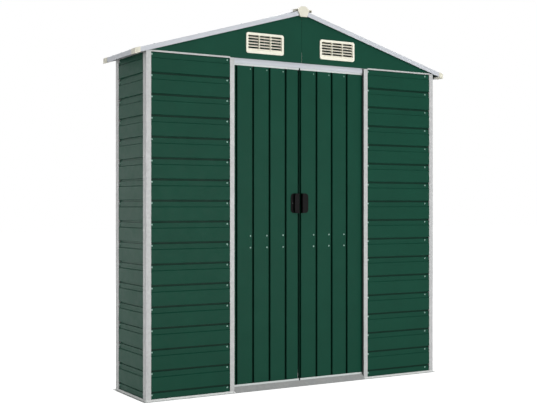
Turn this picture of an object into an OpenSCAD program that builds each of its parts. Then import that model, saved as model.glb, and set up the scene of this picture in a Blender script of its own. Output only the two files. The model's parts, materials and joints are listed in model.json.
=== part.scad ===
// Metal storage shed: ribbed sheet walls in galvanised posts and rails, a low
// gable roof with its ridge from front to back, and two doors that slide apart.
// +X runs to the right along the front, +Y to the back, +Z up.
// The origin is on the ground in the middle of the plan. Millimetres.

/* [Walls] */
// Width over the corner posts
wall_w = 1766; // [1600:1:2400]
// Depth over the corner posts
wall_d = 390; // [330:1:1200]
// Height of the wall line, where the gables start
wall_h = 1697; // [1500:1:2100]
// Thickness of the folded sheets and profiles
sheet_t = 1; // [0.6:0.1:1.5]

/* [Cladding] */
// Height from one board of the wall sheet to the next
rib_pitch = 103; // [80:1:130]
// Height of the first board's lower edge above the ground
board_z = 49; // [45:1:80]
// Height of the sunk band over a board
band_h = 23.5; // [15:0.5:40]
// Depth of the sunk band
rib_depth = 5; // [3:0.5:8]
// Height of the slope from board to band
rib_slope = 4; // [2:0.5:6]
// Height of the seam under a board
seam_h = 10.5; // [5:0.5:14]
// Depth of the seam
seam_depth = 10; // [8:0.5:12]

/* [Posts and rails] */
// Face of a corner post on the front or back
post_front = 26; // [20:1:40]
// Face of a corner post on the side
post_side = 38; // [25:1:50]
// Leg of a post or jamb behind the wall sheet
leg_w = 34; // [15:1:40]
// Height of the base rail in front of the sheets
base_up = 11; // [6:1:40]
// Width of the base rail on the ground outside the walls
base_out = 14; // [8:1:40]
// Width of the base rail inside the walls
base_in = 34; // [25:1:45]
// Height of the base rail's inner edge
base_edge = 20; // [8:1:22]
// Height of the rail face below the gable
rail_face = 7; // [5:1:12]
// Width of the rails' top flange
rail_flange = 24; // [15:1:40]
// Radius of the four anchor holes
anchor_r = 4; // [3:0.5:6]
// Distance of an anchor hole from the end of the wall
anchor_end = 80; // [70:1:150]
// Distance of an anchor hole from the face of the wall
anchor_in = 20; // [12:1:26]

/* [Doorway] */
// Width between the jambs
doorway_w = 802; // [600:1:900]
// Face of a jamb
jamb_w = 25; // [20:1:40]
// Return of a jamb into the doorway
jamb_return = 15; // [10:0.5:15]
// Height of the header over the doorway
header_h = 27; // [24:1:40]
// Height of the sill's crest
sill_h = 27.5; // [24:0.5:40]

/* [Doors] */
// Depth of the doors' faces behind the wall face
door_in = 22; // [22:0.5:30]
// Width by which a door laps behind its jamb
door_lap = 12; // [6:1:20]
// Gap between the two doors
door_gap = 8; // [5:0.5:12]
// Height of a door's edges hidden by the sill and the header
door_hide = 5; // [3:0.5:6]
// Thickness of a door
door_t = 24; // [18:1:26]
// Distance from one groove of the door to the next
groove_pitch = 97.7; // [70:0.1:130]
// Width of a groove
groove_w = 12; // [7:0.5:16]
// Depth of a groove
groove_depth = 13; // [6:0.5:14]
// Width of the strip for the screws beside a groove
screw_strip = 16; // [10:1:25]
// First groove of the left door from its closing edge
groove_start_left = 81; // [70:1:100]
// First groove of the right door from its closing edge
groove_start_right = 103; // [80:1:110]
// Sunk lip along a door's closing edge
lip_w = 6; // [4:0.5:10]
// Height of the channels along a door's top and bottom
channel_h = 14; // [8:0.5:20]
// Middle of the doors' brace above the ground
brace_z = 761; // [500:1:1100]
// Height of the doors' brace
brace_h = 84; // [60:1:120]
// Middle of the handles above the ground
handle_z = 959; // [800:1:1200]
// Height of a handle
handle_h = 103; // [80:1:140]
// Width of a handle's plate
handle_w = 44; // [36:1:60]
// How far a handle stands out from the door
handle_out = 17; // [12:0.5:17]

/* [Roof] */
// Rise of the roof for each millimetre of run
roof_slope = 0.29; // [0.15:0.01:0.5]
// Overhang of the roof past the side walls
eave_over = 61; // [30:1:120]
// Overhang of the roof past the gables
gable_over = 13; // [10:1:60]
// Height of the roof's underside over the wall line
roof_lift = 11; // [8:0.5:30]
// Rib height of the roof sheets
roof_rib = 5; // [3:0.5:6]
// Height of a roof trim above the roof's underside
trim_up = 8; // [7.5:0.5:14]
// Height of a roof trim below the roof's underside
trim_down = 16; // [12:1:40]

/* [Vents] */
// Width of a vent
vent_w = 222; // [215:1:260]
// Height of a vent
vent_h = 105; // [90:1:120]
// Distance of a vent's middle from the middle of the gable
vent_x = 223.5; // [180:0.5:260]
// Height of a vent's lower edge above the wall line
vent_up = 27; // [12:1:30]
// Rows of slots in a vent
vent_rows = 5; // [4:1:6]

/* [Hidden] */

// Signs of the sides and ends. Every piece is drawn at the front left.
left = -1;
right = 1;
front = -1;
back = 1;

wall_green = "#1f4c3d";
steel_grey = "#bfc0bf";
trim_grey = "#c8cad2";
cap_cream = "#e4e0cd";
grip_black = "#1c1c1c";

x_wall = -wall_w / 2;
y_wall = -wall_d / 2;
x_door = -doorway_w / 2;
y_door = y_wall + door_in;

// Wall sheets stand in the base rail and end under the gable rail
sheet_z1 = wall_h - 3;
rail_z0 = wall_h - rail_face;
leg_in = seam_depth + sheet_t;

// Roof: underside at the ridge, outer edges, and the line of the gable trims
ridge_z = wall_h + roof_lift + roof_slope * wall_w / 2;
roof_angle = atan(roof_slope);
roof_x = x_wall - eave_over;
verge_y = y_wall - gable_over;
verge_flange = 30;
verge_lip = 3;
eave_flange = 25;

// Doors
header_z0 = wall_h - header_h;
tab_z0 = wall_h - 3;
door_z0 = sill_h - door_hide;
door_z1 = header_z0 + door_hide;
door_x0 = -door_gap / 2;
door_w = doorway_w / 2 + door_lap - door_gap / 2;

// Header face and door track, each 5 mm clear of the doors
header_in = door_in - 7 - sheet_t;
track_back = door_in + door_t + 6;
track_z0 = door_z1 + 5;
track_lip = 8;
track_bead = 4;

// Handle
plate_t = 3;
plate_corner = 18;
grip_w = 28;
grip_t = 3;
handle_set = 6;

// Ridge cap, whose wings lie on the gable trims, and its plastic ends
ridge_wing = 46;
ridge_foot = 39;
ridge_z0 = ridge_z + trim_up + 1.3 - roof_slope * ridge_foot;
ridge_rise = 26;
end_t = 1.8;
end_out = 8;
end_sleeve = 21;
end_drop = 27;

// Plastic corners of the roof
corner_t = 1.5;
corner_play = 0.1;
corner_x = 26;
corner_y = 48;

// Vents: a window of slots from slot_low up, and a blind groove below it
slot_w = 64;
slot_bar = 3.5;
slot_low = 22;
slot_high = vent_h - 12;
slot_mid = (slot_low + slot_high) / 2;
slot_row = (slot_high - slot_low + 2.5) / vent_rows;
blind_z = 16;
blind_depth = 3;
vent_open_w = 3 * slot_w + 2 * slot_bar;
vent_open_h = slot_high - slot_low;
vent_t = 5;
vent_corner = 12;
collar_t = 2;
collar_in = 8;
collar_play = 0.5;
blade_t = 1.8;
blade_rise = 7;

// ---- Sheet sections ----

function right_of(v) = [v[1], -v[0]] / norm(v);

// Point i of a path moved by t to the right of its run, with mitred corners
function moved(path, i, t) =
    let (last = len(path) - 1,
         before = right_of(path[max(i, 1)] - path[max(i, 1) - 1]),
         after = right_of(path[min(i, last - 1) + 1] - path[min(i, last - 1)]))
    path[i] + t * (before + after) / (1 + before * after);

// Closed outline of a sheet of thickness t folded along a path
function folded(path, t = sheet_t) =
    concat(path, [for (i = [len(path) - 1 : -1 : 0]) moved(path, i, t)]);

// ---- Placing ----

// Mirrors what is drawn at the front left to another side and end
module placed(side, end = front) {
    mirror([side == right ? 1 : 0, 0, 0])
        mirror([0, end == back ? 1 : 0, 0])
            children();
}

// Runs a section in Y and Z along X
module along_x(x0, x1) {
    translate([x0, 0, 0]) rotate([90, 0, 90]) linear_extrude(x1 - x0) children();
}

// Runs a section in X and Z along Y
module along_y(y0, y1) {
    translate([0, y1, 0]) rotate([90, 0, 0]) linear_extrude(y1 - y0) children();
}

// Runs a plan section upwards
module upright(z0, z1) {
    translate([0, 0, z0]) linear_extrude(z1 - z0) children();
}

// ---- Base ----

// Base rail section from the wall face inwards
module base_section() {
    polygon([
        [-base_out, 0], [base_in, 0], [base_in, base_edge],
        [base_in - sheet_t, base_edge], [base_in - sheet_t, sheet_t], [0, sheet_t],
        [0, base_up], [-sheet_t, base_up], [-sheet_t, sheet_t], [-base_out, sheet_t]
    ]);
}

// Long rail of the front or back, drawn from the left corner to x1
module long_base_rail(x1) {
    difference() {
        union() {
            translate([0, y_wall, 0]) along_x(x_wall - base_out, x1) base_section();
            translate([x_wall - sheet_t, y_wall, 0])
                cube([sheet_t, base_in, base_up]);
        }
        // The front upstand stops at the corner
        translate([x_wall - base_out - 1, y_wall - sheet_t - 1, sheet_t])
            cube([base_out + 1 - sheet_t, base_in + base_out, base_edge]);
        // The inner edge leaves room for the post
        translate([x_wall - 1, y_wall + base_in - sheet_t - 1, sheet_t])
            cube([base_in + 1, sheet_t + 2, base_edge]);
        for (x = [x_wall + anchor_end, -x_wall - anchor_end])
            translate([x, y_wall + anchor_in, -1]) cylinder(h = sheet_t + 2, r = anchor_r, $fn = 32);
    }
}

module base_rail_front(side) {
    color(steel_grey) placed(side) long_base_rail(x_door);
}

module base_rail_side(side) {
    color(steel_grey)
        placed(side)
            translate([x_wall, 0, 0])
                along_y(y_wall + base_in, -y_wall - base_in) base_section();
}

module base_rail_back() {
    color(steel_grey)
        for (side = [left, right]) placed(side, back) long_base_rail(0);
}

// Sill between the two front rails: up to a crest, then down under the doors
module door_sill() {
    floor_z = door_z0 - 10;
    color(steel_grey)
        translate([0, y_wall, 0])
            along_x(x_door, -x_door)
                polygon(folded([
                    [-base_out, sheet_t], [jamb_return, sill_h],
                    [jamb_return + 1, floor_z], [base_in, floor_z], [base_in, 0]
                ]));
}

// ---- Posts ----

// Corner post: two faces, each with a leg set back behind the wall sheet
module corner_post(side, end) {
    color(steel_grey)
        placed(side, end)
            translate([x_wall, y_wall, 0])
                upright(sheet_t, wall_h)
                    polygon(folded([
                        [post_front + leg_w, leg_in], [post_front, leg_in],
                        [post_front, 0], [0, 0], [0, post_side],
                        [leg_in, post_side], [leg_in, post_side + leg_w]
                    ]));
}

// Jamb: its return into the doorway ends below the door track
module door_jamb(side) {
    color(steel_grey)
        placed(side)
            translate([x_door, y_wall, 0])
                difference() {
                    upright(sheet_t, tab_z0 - sheet_t)
                        polygon(folded([
                            [0, jamb_return], [0, 0], [-jamb_w, 0],
                            [-jamb_w, leg_in], [-jamb_w - leg_w, leg_in]
                        ]));
                    translate([-sheet_t - 1, header_in, header_z0])
                        cube([sheet_t + 2, jamb_return, header_h + 1]);
                }
}

// Post between the two back walls
module back_post() {
    color(steel_grey)
        placed(left, back)
            translate([-jamb_w / 2, y_wall, 0])
                upright(sheet_t, rail_z0)
                    polygon(folded([
                        [jamb_w + leg_w, leg_in], [jamb_w, leg_in], [jamb_w, 0],
                        [0, 0], [0, leg_in], [-leg_w, leg_in]
                    ]));
}

// ---- Walls ----

// Section of the wall sheet: a band at the foot, then seam, board and band in turn
module wall_section() {
    board_h = rib_pitch - seam_h - band_h - rib_slope;
    boards = 1 + floor((sheet_z1 - board_z - board_h - rib_slope) / rib_pitch);
    polygon(folded(concat(
        [[rib_depth, sheet_t]],
        [for (k = [0 : boards - 1], p = [
            [rib_depth, -seam_h], [seam_depth, 1 - seam_h], [seam_depth, -1.5],
            [0, 0], [0, board_h], [rib_depth, board_h + rib_slope]
        ]) p + [0, board_z + k * rib_pitch]],
        [[rib_depth, sheet_z1]]
    )));
}

// Wall sheet of the front or back between two places along the wall
module long_wall(x0, x1) {
    translate([0, y_wall, 0]) along_x(x0, x1) wall_section();
}

module front_wall(side) {
    color(wall_green) placed(side) long_wall(x_wall + post_front, x_door - jamb_w);
}

module back_wall(side) {
    color(wall_green) placed(side, back) long_wall(x_wall + post_front, -jamb_w / 2);
}

module side_wall(side) {
    color(wall_green)
        placed(side)
            translate([x_wall, 0, 0])
                along_y(y_wall + post_side, -y_wall - post_side) wall_section();
}

// ---- Rails and door track ----

// Rail along the foot of a gable from the left post to x1, with a flange inwards
module gable_rail(x1) {
    translate([0, y_wall, 0])
        along_x(x_wall + post_front, x1)
            polygon(folded([
                [-sheet_t, rail_z0], [-sheet_t, wall_h + sheet_t],
                [rail_flange, wall_h + sheet_t]
            ]));
}

// The front rail is open over the doorway
module gable_rail_front() {
    color(steel_grey)
        for (side = [left, right]) placed(side) gable_rail(x_door - jamb_w);
}

module gable_rail_back() {
    color(steel_grey) placed(left, back) gable_rail(-x_wall - post_front);
}

// Rail along the top of a side wall, up to the roof
module top_rail(side) {
    rail_top = wall_h + roof_lift - sheet_t;
    color(steel_grey)
        placed(side)
            translate([x_wall, 0, 0])
                along_y(y_wall + sheet_t, -y_wall - sheet_t)
                    polygon(folded([
                        [-sheet_t, rail_z0], [-sheet_t, rail_top], [rail_flange, rail_top]
                    ]));
}

// Cover over the doorway: a set-back face with a flange out to the gable
module door_header() {
    color(trim_grey)
        translate([0, y_wall, 0])
            along_x(x_door, -x_door)
                polygon(folded([[header_in, header_z0], [header_in, wall_h], [sheet_t, wall_h]]));
}

// Channel that the doors hang in, from post to post behind the front walls
module door_track() {
    color(steel_grey)
        translate([0, y_wall, 0])
            along_x(x_wall + leg_in + sheet_t, -x_wall - leg_in - sheet_t)
                polygon(folded([
                    [header_in + sheet_t, header_z0], [header_in + sheet_t, wall_h],
                    [track_back, wall_h], [track_back, track_z0],
                    [track_back - track_lip, track_z0],
                    [track_back - track_lip, track_z0 + track_bead]
                ]));
}

// ---- Gables ----

function roof_z(x) = ridge_z - roof_slope * abs(x);

// Strip in X and Z that follows the roof, between two heights over its underside
module roof_strip(x0, x1, low, high) {
    polygon([
        [x0, roof_z(x0) + low], [x1, roof_z(x1) + low],
        [x1, roof_z(x1) + high], [x0, roof_z(x0) + high]
    ]);
}

// Places a shape at a height over a vent's lower edge
module vent_place(up) {
    translate([-vent_x, wall_h + vent_up + up]) children();
}

seam_gap = 1.2;

// Half of a gable, cut through behind the vent. The front one covers the edge of
// the header's flange
module gable(side, end) {
    color(wall_green)
        placed(side, end)
            along_y(y_wall, y_wall + sheet_t)
                difference() {
                    polygon(concat(
                        [[x_wall, wall_h + sheet_t]],
                        end == front
                            ? [[x_door - jamb_w, wall_h + sheet_t], [x_door - jamb_w, tab_z0],
                               [-seam_gap / 2, tab_z0]]
                            : [[-seam_gap / 2, wall_h + sheet_t]],
                        [[-seam_gap / 2, roof_z(seam_gap / 2) - 1], [x_wall, roof_z(x_wall) - 1]]
                    ));
                    vent_place(slot_mid)
                        square([
                            vent_open_w + 2 * (collar_t + collar_play),
                            vent_open_h + 2 * (collar_t + collar_play)
                        ], center = true);
                }
}

// Rectangle with round corners, centred
module round_plate(w, h, r) {
    square([w - 2 * r, h], center = true);
    square([w, h - 2 * r], center = true);
    for (x = [r - w / 2, w / 2 - r], y = [r - h / 2, h / 2 - r])
        translate([x, y]) circle(r = r, $fn = 48);
}

// Three slots of a vent side by side
module three_slots(h) {
    for (k = [-1 : 1])
        translate([k * (slot_w + slot_bar), 0]) square([slot_w, h], center = true);
}

// Louvre vent: a frame with three windows, a collar that passes through the
// gable, and blades that slope down and out
module vent() {
    difference() {
        union() {
            along_y(y_wall - vent_t, y_wall)
                vent_place(vent_h / 2) round_plate(vent_w, vent_h, vent_corner);
            along_y(y_wall - 1, y_wall + collar_in)
                vent_place(slot_mid)
                    square([vent_open_w + 2 * collar_t, vent_open_h + 2 * collar_t], center = true);
        }
        along_y(y_wall - vent_t - 1, y_wall + collar_in + 1)
            vent_place(slot_mid) three_slots(vent_open_h);
        along_y(y_wall - vent_t - 1, y_wall - vent_t + blind_depth)
            vent_place(blind_z) three_slots(3.5);
    }
    for (k = [0 : vent_rows - 1])
        translate([-vent_x, y_wall, wall_h + vent_up + slot_low + (k - 0.25) * slot_row])
            along_x(-vent_open_w / 2 - 1, vent_open_w / 2 + 1)
                polygon([
                    [1 - vent_t, 0], [1 - vent_t, blade_t],
                    [collar_in - 2, blade_rise + blade_t], [collar_in - 2, blade_rise]
                ]);
}

module vents(end) {
    color(cap_cream)
        for (side = [left, right]) placed(side, end) vent();
}

// ---- Roof ----

beam_half = 40;
beam_web = 25;

// Hat-shaped beam under the ridge, from gable to gable
module ridge_beam() {
    seat = roof_z(beam_half) - 1;
    color(steel_grey)
        along_y(y_wall + sheet_t, -y_wall - sheet_t)
            polygon(folded([
                [-beam_half, seat - beam_web], [-beam_half, seat], [0, ridge_z - 1],
                [beam_half, seat], [beam_half, seat - beam_web]
            ]));
}

roof_rib_w = 27;
roof_ribs = max(1, floor((wall_d + 2 * gable_over - 2 * roof_rib_w) / rib_pitch));

// Roof sheet with raised ribs that run down the slope
module roof_panel(side) {
    half = -verge_y - sheet_t;
    long = (-roof_x - sheet_t) / cos(roof_angle) - 4;
    first = -(roof_ribs - 1) * rib_pitch / 2;
    color(wall_green)
        placed(side)
            translate([0, 0, ridge_z])
                rotate([0, -roof_angle, 0])
                    along_x(-long, -ridge_foot / 4)
                        polygon(folded(concat(
                            [[-half, sheet_t]],
                            [for (k = [0 : roof_ribs - 1], p = [
                                [-roof_rib_w / 2, sheet_t], [3 - roof_rib_w / 2, roof_rib + sheet_t],
                                [roof_rib_w / 2 - 3, roof_rib + sheet_t], [roof_rib_w / 2, sheet_t]
                            ]) p + [first + k * rib_pitch, 0]],
                            [[half, sheet_t]]
                        )));
}

// Arched line of the ridge cap, with a flat wing on each side
ridge_line = [
    [-ridge_wing, ridge_z0], [-ridge_foot, ridge_z0], [-33, ridge_z0 + 9],
    [-14, ridge_z0 + ridge_rise - 1.5], [0, ridge_z0 + ridge_rise],
    [14, ridge_z0 + ridge_rise - 1.5], [33, ridge_z0 + 9],
    [ridge_foot, ridge_z0], [ridge_wing, ridge_z0]
];

module ridge_cap() {
    color(trim_grey) along_y(verge_y, -verge_y) polygon(folded(ridge_line));
}

// Plastic end: a hood over the cap, whose wings turn down at their edges, and a
// shallow nose in front of it with a face that narrows downwards
hood_line = concat(
    [[-ridge_wing - 2, ridge_z0 - 1], [-ridge_wing - 2, ridge_z0 + 9]],
    [for (i = [2 : len(ridge_line) - 3]) ridge_line[i]],
    [[ridge_wing + 2, ridge_z0 + 9], [ridge_wing + 2, ridge_z0 - 1]]
);

// Outline of the nose, t outside its inner face
module nose_outline(t) {
    cheek = 33 + 1.4 * t;
    foot = 18 + t;
    low = ridge_z0 - end_drop + end_t - t;
    polygon(concat(
        [for (i = [2 : len(hood_line) - 3]) moved(hood_line, i, -t)],
        [[cheek, ridge_z0 + 8], [foot, low], [-foot, low], [-cheek, ridge_z0 + 8]]
    ));
}

module ridge_end() {
    along_y(verge_y - end_out, verge_y + end_sleeve) polygon(folded(hood_line, -end_t));
    along_y(verge_y - end_out, verge_y)
        difference() {
            nose_outline(end_t);
            nose_outline(0);
        }
    along_y(verge_y - end_out, verge_y - end_out + end_t) nose_outline(end_t);
}

module ridge_ends() {
    color(cap_cream)
        for (end = [front, back]) placed(left, end) ridge_end();
}

// Trim along a gable edge: face, flange over the roof and lip below
module verge(side, end) {
    color(trim_grey)
        placed(side, end) {
            along_y(verge_y, verge_y + sheet_t) roof_strip(roof_x, 0, -trim_down, trim_up);
            along_y(verge_y, verge_y + verge_flange)
                roof_strip(roof_x, 0, trim_up - sheet_t, trim_up);
            along_y(verge_y, verge_y + verge_lip)
                roof_strip(roof_x, 0, -trim_down, sheet_t - trim_down);
        }
}

// Trim along an eave, between the flanges of the gable trims
module eave_trim(side) {
    color(trim_grey)
        placed(side)
            along_y(verge_y + verge_flange, -verge_y - verge_flange) {
                roof_strip(roof_x, roof_x + sheet_t, -trim_down, trim_up);
                roof_strip(roof_x, roof_x + eave_flange, trim_up - sheet_t, trim_up);
                roof_strip(roof_x, roof_x + eave_flange / 2, -trim_down, sheet_t - trim_down);
            }
}

// Plastic caps over the four corners of the roof
module roof_corners() {
    color(cap_cream)
        for (side = [left, right], end = [front, back])
            placed(side, end)
                difference() {
                    along_y(verge_y - corner_t, verge_y + corner_y)
                        roof_strip(roof_x - corner_t, roof_x + corner_x,
                                   -trim_down - corner_t, trim_up + corner_t);
                    along_y(verge_y - corner_play, verge_y + corner_y + 1)
                        roof_strip(roof_x - corner_play, roof_x + corner_x + 1,
                                   -trim_down - corner_play, trim_up + corner_play);
                }
}

// ---- Doors ----

strip_in = 1.5;

// Groove of a door sheet, with the strip for the screws on its left in both doors
function groove(side) =
    let (half = groove_w / 2, edge = half + screw_strip)
    side == left
        ? [[half, 0], [half - 1, groove_depth], [1 - half, groove_depth],
           [-half, strip_in], [-edge, strip_in], [-edge - 1, 0]]
        : [[edge + 1, 0], [edge, strip_in], [half, strip_in], [half - 1, groove_depth],
           [1 - half, groove_depth], [-half, 0]];

// Plan line of a door sheet from its closing edge, with its sides turned in
function door_line(side, start) =
    let (count = 1 + floor((door_w - start - groove_w - screw_strip) / groove_pitch))
    concat(
        [[0, door_t - sheet_t], [0, groove_depth], [-lip_w, groove_depth], [-lip_w - 1, 0]],
        [for (k = [0 : count - 1], p = groove(side)) p - [start + k * groove_pitch, 0]],
        [[-door_w, 0], [-door_w, door_t - sheet_t]]
    );

module door_panel(side) {
    start = side == left ? groove_start_left : groove_start_right;
    color(wall_green)
        placed(side)
            translate([door_x0, y_door, 0])
                upright(door_z0 + sheet_t, door_z1 - sheet_t)
                    polygon(folded(door_line(side, start)));
}

hanger_w = 40;
hanger_z = track_z0 + track_bead + 6 - door_z1;

// Channels over the top and bottom edges, with two hangers in the track
module door_channels(side) {
    edge = door_x0 - door_w;
    color(trim_grey)
        placed(side) {
            translate([0, y_door, 0])
                along_x(edge, door_x0) {
                    polygon(folded([
                        [-sheet_t, door_z1 - channel_h], [-sheet_t, door_z1],
                        [door_t, door_z1], [door_t, door_z1 - channel_h]
                    ]));
                    polygon(folded([
                        [-sheet_t, door_z0 + channel_h], [-sheet_t, door_z0],
                        [door_t, door_z0], [door_t, door_z0 + channel_h]
                    ], -sheet_t));
                }
            for (x = [edge + hanger_w, door_x0 - 2 * hanger_w])
                translate([x, y_wall + track_back - track_lip, door_z1]) {
                    translate([0, -6, 0]) cube([hanger_w, 3, hanger_z]);
                    translate([0, -6, hanger_z - 5]) cube([hanger_w, 10, 5]);
                }
        }
}

// Hat-shaped brace across the back of a door
module door_brace(side) {
    inset = 2 * sheet_t;
    depth = groove_depth + sheet_t;
    color(steel_grey)
        placed(side)
            translate([0, y_door, brace_z])
                along_x(door_x0 - door_w + inset, door_x0 - inset)
                    polygon(folded([
                        [depth, -brace_h / 2], [depth, -brace_h / 2 + 20],
                        [door_t - 3, -brace_h / 2 + 24], [door_t - 3, brace_h / 2 - 24],
                        [depth, brace_h / 2 - 20], [depth, brace_h / 2]
                    ]));
}

// Outline of the handle's plate, with round corners away from the closing edge
module handle_outline(w) {
    r = min(plate_corner, w / 2);
    translate([-w + r, -handle_h / 2]) square([w - r, handle_h]);
    translate([-w, r - handle_h / 2]) square([w, handle_h - 2 * r]);
    for (y = [r - handle_h / 2, handle_h / 2 - r])
        translate([r - w, y]) circle(r = r, $fn = 64);
}

// Moulded pull: a plate, a wall near the closing edge and a grip over the fingers
module door_handle(side) {
    inner = door_x0 - handle_set;
    color(grip_black)
        placed(side)
            translate([inner, y_door, handle_z])
                rotate([90, 0, 0]) {
                    linear_extrude(plate_t) handle_outline(handle_w);
                    translate([-grip_t, -handle_h / 2, 0])
                        cube([grip_t, handle_h, handle_out]);
                    translate([0, 0, handle_out - grip_t])
                        linear_extrude(grip_t) handle_outline(grip_w);
                    for (z = [-handle_h / 2, handle_h / 2 - grip_t])
                        translate([plate_corner - grip_w, z, 0])
                            cube([grip_w - plate_corner, grip_t, handle_out]);
                }
}

base_rail_front(left);  // base_rail_front_left
base_rail_front(right);  // base_rail_front_right
base_rail_side(left);  // base_rail_left
base_rail_side(right);  // base_rail_right
base_rail_back();
door_sill();
corner_post(left, front);  // corner_post_front_left
corner_post(right, front);  // corner_post_front_right
corner_post(left, back);  // corner_post_back_left
corner_post(right, back);  // corner_post_back_right
door_jamb(left);  // door_jamb_left
door_jamb(right);  // door_jamb_right
back_post();
front_wall(left);  // front_wall_left
front_wall(right);  // front_wall_right
side_wall(left);  // side_wall_left
side_wall(right);  // side_wall_right
back_wall(left);  // back_wall_left
back_wall(right);  // back_wall_right
gable_rail_front();
gable_rail_back();
top_rail(left);  // top_rail_left
top_rail(right);  // top_rail_right
door_header();
door_track();
gable(left, front);  // gable_front_left
gable(right, front);  // gable_front_right
gable(left, back);  // gable_back_left
gable(right, back);  // gable_back_right
vents(front);  // vents_front
vents(back);  // vents_back
ridge_beam();
roof_panel(left);  // roof_panel_left
roof_panel(right);  // roof_panel_right
ridge_cap();
ridge_ends();
verge(left, front);  // verge_front_left
verge(right, front);  // verge_front_right
verge(left, back);  // verge_back_left
verge(right, back);  // verge_back_right
eave_trim(left);  // eave_trim_left
eave_trim(right);  // eave_trim_right
roof_corners();
door_panel(left);  // door_left_panel
door_channels(left);  // door_left_channels
door_brace(left);  // door_left_brace
door_handle(left);  // door_left_handle
door_panel(right);  // door_right_panel
door_channels(right);  // door_right_channels
door_brace(right);  // door_right_brace
door_handle(right);  // door_right_handle
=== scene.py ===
import json
import math

import bmesh
import bpy
from mathutils import Matrix, Vector


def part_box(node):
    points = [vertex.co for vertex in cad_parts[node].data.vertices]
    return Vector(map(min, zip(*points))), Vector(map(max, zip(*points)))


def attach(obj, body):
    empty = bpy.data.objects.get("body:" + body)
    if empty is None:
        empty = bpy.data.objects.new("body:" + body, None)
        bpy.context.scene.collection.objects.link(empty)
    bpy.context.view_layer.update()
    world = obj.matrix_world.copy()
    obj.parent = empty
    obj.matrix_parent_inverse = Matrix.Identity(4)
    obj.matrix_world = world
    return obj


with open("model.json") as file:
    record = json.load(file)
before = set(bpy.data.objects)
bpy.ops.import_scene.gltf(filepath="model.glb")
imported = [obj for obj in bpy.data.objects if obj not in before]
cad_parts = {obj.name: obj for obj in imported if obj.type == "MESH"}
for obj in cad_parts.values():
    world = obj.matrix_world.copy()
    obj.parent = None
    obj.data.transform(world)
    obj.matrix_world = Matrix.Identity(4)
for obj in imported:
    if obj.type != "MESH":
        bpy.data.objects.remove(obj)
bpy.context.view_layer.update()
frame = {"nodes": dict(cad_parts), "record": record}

nodes = frame["nodes"]


# ---- Base rails and sill ----
# The shed stands on a frame of galvanised rails, roll formed from steel strip and
# screwed together at the corners. The sill in the doorway is a sloped cover of the
# same strip, so that water runs off in front of the doors.

STEEL = (0.470, 0.477, 0.474)
# Painted light: a lighter copy of the steel for the base rails, which sit low where little
# light reaches.
RAIL_STEEL_PAINTED_LIGHT = (0.60, 0.615, 0.605)
# Painted shade: a darker copy of the steel for the sloped sill.
SILL_STEEL_PAINTED_SHADE = (0.365, 0.372, 0.369)
ANCHOR_ZINC = (0.38, 0.38, 0.36)
SPANGLE_SIZE = 0.011
STEEL_SHARE = 0.05
STRIP_T = 0.001
ANCHOR_FLATS = 0.013
ANCHOR_HEAD = 0.0053
ANCHOR_WASHER = 0.008
ANCHOR_WASHER_T = 0.0016
HEAD_SMOOTH = math.radians(40)


def new_material(name, metallic, roughness, level):
    """A material with its even values set, its node tree and its shader."""
    material = bpy.data.materials.new(name)
    material.use_nodes = True
    shader = material.node_tree.nodes["Principled BSDF"]
    shader.inputs["Metallic"].default_value = metallic
    shader.inputs["Roughness"].default_value = roughness
    shader.inputs["Specular IOR Level"].default_value = level
    return material, material.node_tree, shader


def object_noise(tree, scale, detail=3.0, stretch=(1, 1, 1)):
    """Noise over the object's own coordinates, in metres."""
    place = tree.nodes.new("ShaderNodeTexCoord")
    mapping = tree.nodes.new("ShaderNodeMapping")
    mapping.inputs["Scale"].default_value = stretch
    noise = tree.nodes.new("ShaderNodeTexNoise")
    noise.inputs["Scale"].default_value = scale
    noise.inputs["Detail"].default_value = detail
    tree.links.new(place.outputs["Object"], mapping.inputs["Vector"])
    tree.links.new(mapping.outputs["Vector"], noise.inputs["Vector"])
    return noise.outputs["Fac"]


def tone(tree, factor, dark, light, low=0.3, high=0.7):
    """Colour between two tones, as the factor goes from low to high."""
    ramp = tree.nodes.new("ShaderNodeValToRGB")
    ramp.color_ramp.elements[0].position = low
    ramp.color_ramp.elements[0].color = (*dark, 1)
    ramp.color_ramp.elements[1].position = high
    ramp.color_ramp.elements[1].color = (*light, 1)
    tree.links.new(factor, ramp.inputs["Fac"])
    return ramp.outputs["Color"]


def spread(tree, factor, low, high):
    """Number between two ends, for roughness."""
    spreader = tree.nodes.new("ShaderNodeMapRange")
    spreader.inputs["From Min"].default_value = 0.3
    spreader.inputs["From Max"].default_value = 0.7
    spreader.inputs["To Min"].default_value = low
    spreader.inputs["To Max"].default_value = high
    tree.links.new(factor, spreader.inputs["Value"])
    return spreader.outputs["Result"]


def relief(tree, shader, height, depth, strength=1.0):
    """Fine relief of a finish, its depth in metres."""
    bump = tree.nodes.new("ShaderNodeBump")
    bump.inputs["Distance"].default_value = depth
    bump.inputs["Strength"].default_value = strength
    tree.links.new(height, bump.inputs["Height"])
    tree.links.new(bump.outputs["Normal"], shader.inputs["Normal"])


def shades(colour, share):
    """A darker and a lighter tone of a colour."""
    return ([c * (1 - share) for c in colour], [min(1, c * (1 + share)) for c in colour])


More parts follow.
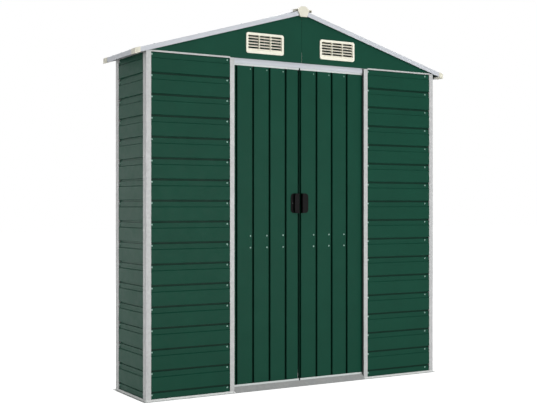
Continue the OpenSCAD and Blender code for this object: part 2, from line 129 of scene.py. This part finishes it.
def galvanised(name, colour, share):
    """Zinc coat: crystals a centimetre wide, each a little darker or lighter."""
    material, tree, shader = new_material(name, 0.1, 0.55, 0.25)
    place = tree.nodes.new("ShaderNodeTexCoord")
    cells = tree.nodes.new("ShaderNodeTexVoronoi")
    cells.inputs["Scale"].default_value = 1 / SPANGLE_SIZE
    grey = tree.nodes.new("ShaderNodeSeparateColor")
    tree.links.new(place.outputs["Object"], cells.inputs["Vector"])
    tree.links.new(cells.outputs["Color"], grey.inputs["Color"])
    dark, light = shades(colour, share)
    tree.links.new(
        tone(tree, grey.outputs["Red"], dark, light, 0, 1), shader.inputs["Base Color"]
    )
    tree.links.new(
        spread(tree, grey.outputs["Green"], 0.50, 0.62), shader.inputs["Roughness"]
    )
    relief(tree, shader, object_noise(tree, 240), 0.0002, 0.3)
    return material


def dress(material, *names):
    """Gives CAD nodes their finish."""
    for name in names:
        mesh = nodes[name].data
        mesh.materials.clear()
        mesh.materials.append(material)


def hex_mesh(flats, height, washer_r, washer_t):
    """Hexagon head with a chamfered crown, on a round washer, its axis along Z."""
    bm = bmesh.new()
    bmesh.ops.create_cone(
        bm, cap_ends=True, segments=24, radius1=washer_r, radius2=washer_r * 0.95,
        depth=washer_t, matrix=Matrix.Translation((0, 0, washer_t / 2)),
    )
    corner = flats / math.sqrt(3)
    head = bmesh.ops.create_cone(
        bm, cap_ends=True, segments=6, radius1=corner, radius2=corner, depth=height,
        matrix=Matrix.Translation((0, 0, washer_t + height / 2)),
    )["verts"]
    crown = [f for f in {f for v in head for f in v.link_faces} if f.normal.z > 0.9]
    bmesh.ops.inset_region(bm, faces=crown, thickness=flats * 0.07, depth=flats * 0.04)
    mesh = bpy.data.meshes.new("hex_head")
    bm.to_mesh(mesh)
    bm.free()
    return mesh


def screws(name, spots, facing, material, body, template):
    """One piece of like screws that ride on a body, their heads facing one way."""
    bm = bmesh.new()
    turn = Vector(facing).to_track_quat("Z", "Y").to_matrix().to_4x4()
    for spot in spots:
        done = len(bm.verts)
        bm.from_mesh(template)
        bm.verts.ensure_lookup_table()
        bmesh.ops.transform(
            bm, matrix=Matrix.Translation(spot) @ turn, verts=bm.verts[done:]
        )
    mesh = bpy.data.meshes.new(name)
    bm.to_mesh(mesh)
    bm.free()
    mesh.materials.append(material)
    mesh.shade_smooth()
    mesh.set_sharp_from_angle(angle=HEAD_SMOOTH)
    made = bpy.data.objects.new(name, mesh)
    bpy.context.scene.collection.objects.link(made)
    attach(made, body)


steel = galvanised("galvanised_steel", STEEL, STEEL_SHARE)
# Painted shade: the sill gets a darker copy of the same steel, standing in for the light
# its sloped face lacks.
dress(galvanised("sill_steel_painted_shade", SILL_STEEL_PAINTED_SHADE, STEEL_SHARE), "door_sill")
# Painted light: the base rails get a lighter copy of the same galvanised steel, in place of
# light that reaches them only weakly near the floor.
dress(
    galvanised("rail_steel_painted_light", RAIL_STEEL_PAINTED_LIGHT, STEEL_SHARE), "base_rail_front_left",
    "base_rail_front_right", "base_rail_left", "base_rail_right", "base_rail_back",
)
holes = frame["record"]["mounts"][0]["dims"]
anchor_x = holes["spacing_x_mm"] / 2000
anchor_y = holes["spacing_y_mm"] / 2000
screws(
    "anchor_bolts",
    [(x, y, STRIP_T) for x in (-anchor_x, anchor_x) for y in (-anchor_y, anchor_y)],
    (0, 0, 1), galvanised("anchor_zinc", ANCHOR_ZINC, 0.08), "frame",
    hex_mesh(ANCHOR_FLATS, ANCHOR_HEAD, ANCHOR_WASHER, ANCHOR_WASHER_T),
)


# ---- Corner posts, jambs and back post ----
# Posts folded from the same galvanised strip, two faces at each corner and one at
# each side of the doorway, where its return lies in painted shade. They stand in the
# base rail and carry the wall sheets on legs set back behind their faces.

JAMB_SHADE_FROM = 0.001
JAMB_SHADE_TO = 0.004
JAMB_SHADE = 0.2


def darken(material, factor, share):
    """Paints shade: takes a coat down to a share of its tone where a factor goes to one."""
    tree = material.node_tree
    colour = tree.nodes["Principled BSDF"].inputs["Base Color"]
    even = colour.links[0].from_socket
    painted_shade = tree.nodes.new("ShaderNodeMix")
    painted_shade.data_type = "RGBA"
    painted_shade.blend_type = "MULTIPLY"
    painted_shade.inputs["B"].default_value = (share, share, share, 1)
    tree.links.new(factor, painted_shade.inputs["Factor"])
    tree.links.new(even, painted_shade.inputs["A"])
    tree.links.new(painted_shade.outputs["Result"], colour)


def behind(material, start, end):
    """How far a point lies behind the front, from none at start to all at end."""
    tree = material.node_tree
    place = tree.nodes.new("ShaderNodeTexCoord")
    axes = tree.nodes.new("ShaderNodeSeparateXYZ")
    depth = tree.nodes.new("ShaderNodeMapRange")
    depth.inputs["From Min"].default_value = start
    depth.inputs["From Max"].default_value = end
    tree.links.new(place.outputs["Object"], axes.inputs["Vector"])
    tree.links.new(axes.outputs["Y"], depth.inputs["Value"])
    return depth.outputs["Result"]


dress(
    steel, "corner_post_front_left", "corner_post_front_right", "corner_post_back_left",
    "corner_post_back_right", "back_post",
)
face_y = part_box("door_jamb_left")[0].y
jamb_steel_painted_shade = galvanised("jamb_steel_painted_shade", STEEL, STEEL_SHARE)
# Painted shade: the jambs' returns, set back behind their faces, are taken down to a fifth
# of the steel's tone.
darken(
    jamb_steel_painted_shade,
    behind(jamb_steel_painted_shade, face_y + JAMB_SHADE_FROM, face_y + JAMB_SHADE_TO),
    JAMB_SHADE,
)
dress(jamb_steel_painted_shade, "door_jamb_left", "door_jamb_right")


# ---- Wall sheets ----
# Thin steel sheet with a baked green coat, roll formed into level boards with a
# sunk band between each two. Self-tapping screws through the bands fix it to the
# legs of the posts.

GREEN = (0.0045, 0.050, 0.0298)
GREEN_SHARE = 0.05
GREEN_ROUGH = 0.48
GREEN_GLOSS = 0.075
RIB_PITCH = 0.103
BAND_DEPTH = 0.005
SEAM_RISE = 0.043
SEAM_W = 0.007
SEAM_SHADE = 0.45
SCREW_RISE = 0.030
SCREW_ROWS = 17
LEFT_INSETS = (0.0055, 0.014)
RIGHT_INSETS = (0.0068, 0.028)
SIDE_INSET = 0.006
HEAD_R = 0.0034
WASHER_R = 0.0044
SCREW_ZINC = (0.28, 0.43, 0.38)


def coated(name, colour, share, roughness, level, grain=900):
    """Baked coat on steel: even in colour, with a fine orange peel."""
    material, tree, shader = new_material(name, 0.0, roughness, level)
    dark, light = shades(colour, share)
    cloud = object_noise(tree, 7)
    tree.links.new(tone(tree, cloud, dark, light), shader.inputs["Base Color"])
    tree.links.new(
        spread(tree, object_noise(tree, 30), roughness - 0.04, roughness + 0.04),
        shader.inputs["Roughness"],
    )
    relief(tree, shader, object_noise(tree, grain, 2), 0.00004, 0.5)
    return material


def green_coat(name):
    """The dark green coat of the sheets."""
    return coated(name, GREEN, GREEN_SHARE, GREEN_ROUGH, GREEN_GLOSS)


def painted_seam_shade(name):
    """Green coat with a line of painted shade in the seam under each board."""
    material = green_coat(name)
    tree = material.node_tree
    place = tree.nodes.new("ShaderNodeTexCoord")
    axes = tree.nodes.new("ShaderNodeSeparateXYZ")
    tree.links.new(place.outputs["Object"], axes.inputs["Vector"])
    height = axes.outputs["Z"]
    for operation, value in (
        ("SUBTRACT", SEAM_RISE), ("PINGPONG", RIB_PITCH / 2), ("LESS_THAN", SEAM_W / 2),
    ):
        step = tree.nodes.new("ShaderNodeMath")
        step.operation = operation
        step.inputs[1].default_value = value
        tree.links.new(height, step.inputs[0])
        height = step.outputs["Value"]
    darken(material, height, SEAM_SHADE)
    return material


def screw_mesh(washer_r, head_r):
    """Pan head with a cross recess, on a thin washer, its axis along Z."""
    bm = bmesh.new()
    bmesh.ops.create_cone(
        bm, cap_ends=True, segments=16, radius1=washer_r, radius2=washer_r * 0.94,
        depth=0.0008, matrix=Matrix.Translation((0, 0, 0.0004)),
    )
    head = bmesh.ops.create_grid(bm, x_segments=5, y_segments=5, size=head_r)["verts"]
    edge = [v for v in head if v.is_boundary]
    middles = {f: f.calc_center_median() for v in head for f in v.link_faces}
    arms = [
        f for f, middle in middles.items()
        if min(abs(middle.x), abs(middle.y)) < head_r * 0.1 and middle.length < head_r * 0.7
    ]
    for v in edge:
        v.co *= head_r / v.co.length
    for v in head:
        v.co.z = 0.0026 - 0.0009 * (v.co.length / head_r) ** 2
    rim = list({e for v in edge for e in v.link_edges if e.is_boundary})
    wall = bmesh.ops.extrude_edge_only(bm, edges=rim)["geom"]
    for v in [g for g in wall if isinstance(g, bmesh.types.BMVert)]:
        v.co.z = 0.0007
    sunk = bmesh.ops.extrude_face_region(bm, geom=arms)["geom"]
    bmesh.ops.delete(bm, geom=arms, context="FACES_KEEP_BOUNDARY")
    floor_verts = [g for g in sunk if isinstance(g, bmesh.types.BMVert)]
    bmesh.ops.translate(bm, vec=(0, 0, -0.0012), verts=floor_verts)
    bmesh.ops.recalc_face_normals(bm, faces=bm.faces)
    mesh = bpy.data.meshes.new("screw")
    bm.to_mesh(mesh)
    bm.free()
    return mesh


green = green_coat("green_sheet")
screw_steel = galvanised("screw_zinc", SCREW_ZINC, 0.03)
sheet_screw = screw_mesh(WASHER_R, HEAD_R)
dress(green, "side_wall_left", "side_wall_right")
dress(
    painted_seam_shade("green_wall_sheet"), "front_wall_left", "front_wall_right",
    "back_wall_left", "back_wall_right",
)
low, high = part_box("front_wall_left")
wall_y = -low.y - BAND_DEPTH
left_columns = (low.x + LEFT_INSETS[0], high.x - LEFT_INSETS[1])
levels = [low.z + SCREW_RISE + k * RIB_PITCH for k in range(SCREW_ROWS)]
low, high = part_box("front_wall_right")
right_columns = (low.x + RIGHT_INSETS[0], high.x - RIGHT_INSETS[1])
low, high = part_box("back_wall_left")
back_columns = (low.x + LEFT_INSETS[0], high.x - LEFT_INSETS[0])
for name, columns, end in [
    ("front_screws", left_columns + right_columns, -1),
    ("back_screws", back_columns + tuple(-x for x in back_columns), 1),
]:
    screws(
        name, [(x, end * wall_y, z) for z in levels for x in columns],
        (0, end, 0), screw_steel, "frame", sheet_screw,
    )
low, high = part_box("side_wall_right")
for side, name in [(-1, "side_screws_left"), (1, "side_screws_right")]:
    screws(
        name,
        [
            (side * (high.x - BAND_DEPTH), y, z)
            for z in levels for y in (low.y + SIDE_INSET, high.y - SIDE_INSET)
        ],
        (side, 0, 0), screw_steel, "frame", sheet_screw,
    )


# ---- Rails under the roof, header and door track ----
# Galvanised angles close the top of the walls. The header over the doorway has a
# pale coat and hides the track, a channel that the doors hang in.

TRIM = (0.525, 0.546, 0.583)


def pale_coat(name, colour):
    """The glossier pale coat of the trims, finer in its peel."""
    return coated(name, colour, 0.03, 0.42, 0.4, 1200)


trim = pale_coat("bright_trim", TRIM)
dress(
    steel, "gable_rail_front", "gable_rail_back", "top_rail_left", "top_rail_right",
    "door_track",
)
dress(trim, "door_header")


# ---- Gables and vents ----
# Each gable is two flat green sheets that meet under the ridge, cut through behind
# its two louvre vents. These are moulded in cream plastic and screwed on at their
# corners, with a cap over each screw.

CREAM = (0.84, 0.817, 0.693)
VENT_W = 0.222
CAP_INSET = 0.0075
CAP_R = 0.0033
CAP_RISE = 0.0012


def moulded(name, colour, share, roughness, level, grain):
    """Moulded plastic with a fine eroded grain."""
    material, tree, shader = new_material(name, 0.0, roughness, level)
    dark, light = shades(colour, share)
    tree.links.new(
        tone(tree, object_noise(tree, 18), dark, light), shader.inputs["Base Color"]
    )
    tree.links.new(
        spread(tree, object_noise(tree, 60), roughness - 0.05, roughness + 0.05),
        shader.inputs["Roughness"],
    )
    relief(tree, shader, object_noise(tree, grain, 2), 0.00006, 0.5)
    return material


def dome_mesh(radius, height):
    """Low round head, its axis along Z."""
    bm = bmesh.new()
    bmesh.ops.create_uvsphere(bm, u_segments=12, v_segments=8, radius=radius)
    bmesh.ops.bisect_plane(
        bm, geom=bm.verts[:] + bm.edges[:] + bm.faces[:], plane_co=(0, 0, 0),
        plane_no=(0, 0, -1), clear_outer=True,
    )
    bmesh.ops.scale(bm, vec=(1, 1, height / radius), verts=bm.verts)
    mesh = bpy.data.meshes.new("dome")
    bm.to_mesh(mesh)
    bm.free()
    return mesh


cream = moulded("cream_plastic", CREAM, 0.03, 0.45, 0.4, 1500)
dress(
    green, "gable_front_left", "gable_front_right", "gable_back_left", "gable_back_right",
)
dress(cream, "vents_front", "vents_back")
low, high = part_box("vents_front")
for end, name in [(-1, "vent_caps_front"), (1, "vent_caps_back")]:
    screws(
        name,
        [
            (side * x, end * (-low.y), z)
            for side in (-1, 1)
            for x in (high.x - CAP_INSET, high.x - VENT_W + CAP_INSET)
            for z in (low.z + CAP_INSET, high.z - CAP_INSET)
        ],
        (0, end, 0), cream, "frame", dome_mesh(CAP_R, CAP_RISE),
    )


# ---- Roof ----
# Two ribbed green sheets lie on a hat-shaped beam and the tops of the walls. A pale
# coated cap covers the ridge, and trims of the same strip close the edges. Cream
# plastic pieces cover the cut ends at the ridge and at the four corners.

# Painted shade: the ridge ends and roof corners are a darker copy of the vents' cream
# plastic.
CAP_CREAM_PAINTED_SHADE = (0.70, 0.68, 0.57)
ROOF_SLOPE = 0.29
RIB_TOP = 0.006
RIB_LINES = (-0.1545, -0.0515, 0.0515, 0.1545)
VERGE_STEPS = (0.12, 0.36, 0.60, 0.84)
VERGE_INSET = 0.015
EAVE_LINES = (-0.11, 0, 0.11)
EAVE_INSET = 0.012
WALL_INSET = 0.012
ROOF_HEAD = {"flats": 0.007, "height": 0.0028, "washer_r": 0.0065, "washer_t": 0.0012}

dress(steel, "ridge_beam")
dress(green, "roof_panel_left", "roof_panel_right")
dress(
    trim, "ridge_cap", "verge_front_left", "verge_front_right", "verge_back_left",
    "verge_back_right", "eave_trim_left", "eave_trim_right",
)
# Painted shade: a darker copy of the cream for the pieces at the ridge and corners.
dress(
    moulded("cream_roof_plastic_painted_shade", CAP_CREAM_PAINTED_SHADE, 0.03, 0.5, 0.3, 1500),
    "ridge_ends", "roof_corners",
)
roof_screw = hex_mesh(**ROOF_HEAD)
pitch = math.atan(ROOF_SLOPE)
low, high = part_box("roof_panel_right")
rib_start = (low.x + RIB_TOP * math.sin(pitch), high.z)
verge_low, verge_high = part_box("verge_front_right")
verge_y = verge_low.y + VERGE_INSET
wall_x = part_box("top_rail_right")[1].x - WALL_INSET
eave_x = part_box("eave_trim_right")[1].x - EAVE_INSET
for side, end in [(-1, "left"), (1, "right")]:
    on_ribs = [
        (side * wall_x, y, rib_start[1] - ROOF_SLOPE * (wall_x - rib_start[0]))
        for y in RIB_LINES
    ]
    on_trims = [
        (side * x, y, verge_high.z - ROOF_SLOPE * x)
        for x in VERGE_STEPS for y in (verge_y, -verge_y)
    ] + [(side * eave_x, y, verge_high.z - ROOF_SLOPE * eave_x) for y in EAVE_LINES]
    facing = (side * math.sin(pitch), 0, math.cos(pitch))
    screws("roof_screws_" + end, on_ribs, facing, screw_steel, "frame", roof_screw)
    screws("trim_screws_" + end, on_trims, facing, screw_steel, "frame", sheet_screw)


# ---- Doors ----
# Two green sheets with grooves down them, held top and bottom by pale channels and
# stiffened by a steel brace screwed across the back. They hang from hook plates in
# the track and slide apart behind the front walls, each drawn by a black pull.

BLACK = (0.0018, 0.0018, 0.0019)
BLACK_STEEL = (0.07, 0.07, 0.07)
CHANNEL = (0.62, 0.66, 0.65)
FIRST_COLUMN = {"door_left": 0.096, "door_right": 0.086}
GROOVE_PITCH = 0.0977
STRIP_IN = 0.0015
GROOVE_SHADE_FROM = 0.003
GROOVE_SHADE_TO = 0.008
GROOVE_SHADE = 0.5
BRACE_ROWS = (0.012, 0.0114)
TOP_ROW = 0.028
RIVET_R = 0.0029
RIVET_RISE = 0.001
HANDLE_SCREW = 0.0105
HANDLE_SINK = 0.003
HANDLE_DOME = (0.0026, 0.0014)

black = moulded("black_plastic", BLACK, 0.1, 0.5, 0.07, 1100)
black_steel = galvanised("black_screw", BLACK_STEEL, STEEL_SHARE)
handle_dome = dome_mesh(*HANDLE_DOME)
channel = pale_coat("channel_coat", CHANNEL)
door_green_painted_shade = green_coat("green_door")
face_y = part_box("door_left_panel")[0].y
# Painted shade: the door sheet is taken down to half its tone in its grooves and on all
# that lies set back behind its face.
darken(
    door_green_painted_shade,
    behind(door_green_painted_shade, face_y + GROOVE_SHADE_FROM, face_y + GROOVE_SHADE_TO),
    GROOVE_SHADE,
)
for side, door in [(-1, "door_left"), (1, "door_right")]:
    dress(door_green_painted_shade, door + "_panel")
    dress(channel, door + "_channels")
    dress(steel, door + "_brace")
    dress(black, door + "_handle")
    low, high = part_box(door + "_panel")
    brace_low, brace_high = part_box(door + "_brace")
    edge = high.x if side < 0 else low.x
    columns = [
        edge + side * (FIRST_COLUMN[door] + k * GROOVE_PITCH) for k in range(3)
    ]
    rows = (brace_low.z + BRACE_ROWS[0], brace_high.z - BRACE_ROWS[1])
    screws(
        door + "_screws", [(x, low.y + STRIP_IN, z) for z in rows for x in columns],
        (0, -1, 0), screw_steel, door, sheet_screw,
    )
    screws(
        door + "_rivets", [(x, low.y + STRIP_IN, high.z - TOP_ROW) for x in columns],
        (0, -1, 0), screw_steel, door, dome_mesh(RIVET_R, RIVET_RISE),
    )
    low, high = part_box(door + "_handle")
    outer = low.x + HANDLE_SCREW if side < 0 else high.x - HANDLE_SCREW
    screws(
        door + "_handle_screw", [(outer, high.y - HANDLE_SINK, (low.z + high.z) / 2)],
        (0, -1, 0), black_steel, door, handle_dome,
    )


# ---- Floor, light and camera ----
# A plain pale floor that stretches past the view, lit by wide soft lamps on all
# sides. Where the camera or a reflection looks past the shed it finds white, and
# the floor still takes the shed's faint shadow.

SKY = 0.2
FLOOR_TONE = 0.85
FLOOR_LIFT = 0.86
FLOOR_HALF = 30
LAMPS = {
    "front_panel": ((0.9, -6.5, 0.7), (0.7, 0, 0.7), 5.0, 1.6, 275),
    "high_front_panel": ((0.6, -4.2, 4.6), (0.1, 0, 1.4), 3.0, 1.2, 55),
    "rear_panel": ((-5.4, 7.0, 0.8), (-0.9, 0, 0.8), 4.0, 2.2, 92),
    "left_panel": ((-6.2, 0.8, 0.75), (0, 0.8, 0.75), 3.0, 2.2, 82),
    "right_panel": ((6.2, 0.8, 0.75), (0, 0.8, 0.75), 3.0, 1.5, 55),
    "roof_panel": ((0.6, 3.2, 4.6), (0, 0, 1.9), 3.0, 3.0, 110),
}
LENS = 66.97
HORIZON_SHIFT = 0.0017
SIDE_SHIFT = 0.0005
CAMERA_PLACE = (-2.802, -4.633, 0.945)
CAMERA_TURN = -30.35


def white_rays(tree):
    """One where the camera, a reflection or a view through glass looks, else none."""
    seen = tree.nodes.new("ShaderNodeLightPath")
    ray_kind = seen.outputs["Is Camera Ray"]
    for other in ("Is Glossy Ray", "Is Transmission Ray"):
        either = tree.nodes.new("ShaderNodeMath")
        either.operation = "MAXIMUM"
        tree.links.new(ray_kind, either.inputs[0])
        tree.links.new(seen.outputs[other], either.inputs[1])
        ray_kind = either.outputs["Value"]
    return ray_kind


world = bpy.data.worlds.new("soft_studio")
bpy.context.scene.world = world
world.use_nodes = True
tree = world.node_tree
tree.nodes.clear()
soft = tree.nodes.new("ShaderNodeBackground")
soft.inputs["Color"].default_value = (SKY, SKY, SKY, 1)
white = tree.nodes.new("ShaderNodeBackground")
white.inputs["Color"].default_value = (1, 1, 1, 1)
choice = tree.nodes.new("ShaderNodeMixShader")
out = tree.nodes.new("ShaderNodeOutputWorld")
tree.links.new(white_rays(tree), choice.inputs["Fac"])
tree.links.new(soft.outputs["Background"], choice.inputs[1])
tree.links.new(white.outputs["Background"], choice.inputs[2])
tree.links.new(choice.outputs["Shader"], out.inputs["Surface"])

floor_material = bpy.data.materials.new("pale_floor")
floor_material.use_nodes = True
tree = floor_material.node_tree
shader = tree.nodes["Principled BSDF"]
shader.inputs["Base Color"].default_value = (FLOOR_TONE, FLOOR_TONE, FLOOR_TONE, 1)
shader.inputs["Roughness"].default_value = 0.9
shader.inputs["Specular IOR Level"].default_value = 0.0
lift = tree.nodes.new("ShaderNodeMath")
lift.operation = "MULTIPLY"
lift.inputs[1].default_value = FLOOR_LIFT
tree.links.new(white_rays(tree), lift.inputs[0])
shader.inputs["Emission Color"].default_value = (1, 1, 1, 1)
tree.links.new(lift.outputs["Value"], shader.inputs["Emission Strength"])
bm = bmesh.new()
bmesh.ops.create_grid(bm, x_segments=1, y_segments=1, size=FLOOR_HALF)
floor_mesh = bpy.data.meshes.new("floor")
bm.to_mesh(floor_mesh)
bm.free()
floor = bpy.data.objects.new("floor", floor_mesh)
bpy.context.scene.collection.objects.link(floor)
floor_mesh.materials.append(floor_material)

for name, (place, target, width, height, power) in LAMPS.items():
    data = bpy.data.lights.new(name, "AREA")
    data.shape = "RECTANGLE"
    data.size = width
    data.size_y = height
    data.energy = power
    lamp = bpy.data.objects.new(name, data)
    bpy.context.scene.collection.objects.link(lamp)
    lamp.location = place
    aim = Vector(target) - Vector(place)
    lamp.rotation_euler = aim.to_track_quat("-Z", "Y").to_euler()

camera_data = bpy.data.cameras.new("camera")
camera_data.lens = LENS
camera_data.sensor_width = 36
camera_data.shift_x = SIDE_SHIFT
camera_data.shift_y = HORIZON_SHIFT
camera = bpy.data.objects.new("camera", camera_data)
bpy.context.scene.collection.objects.link(camera)
camera.location = CAMERA_PLACE
camera.rotation_euler = (math.radians(90), 0, math.radians(CAMERA_TURN))
bpy.context.scene.camera = camera
bpy.context.scene.view_settings.view_transform = "Standard"
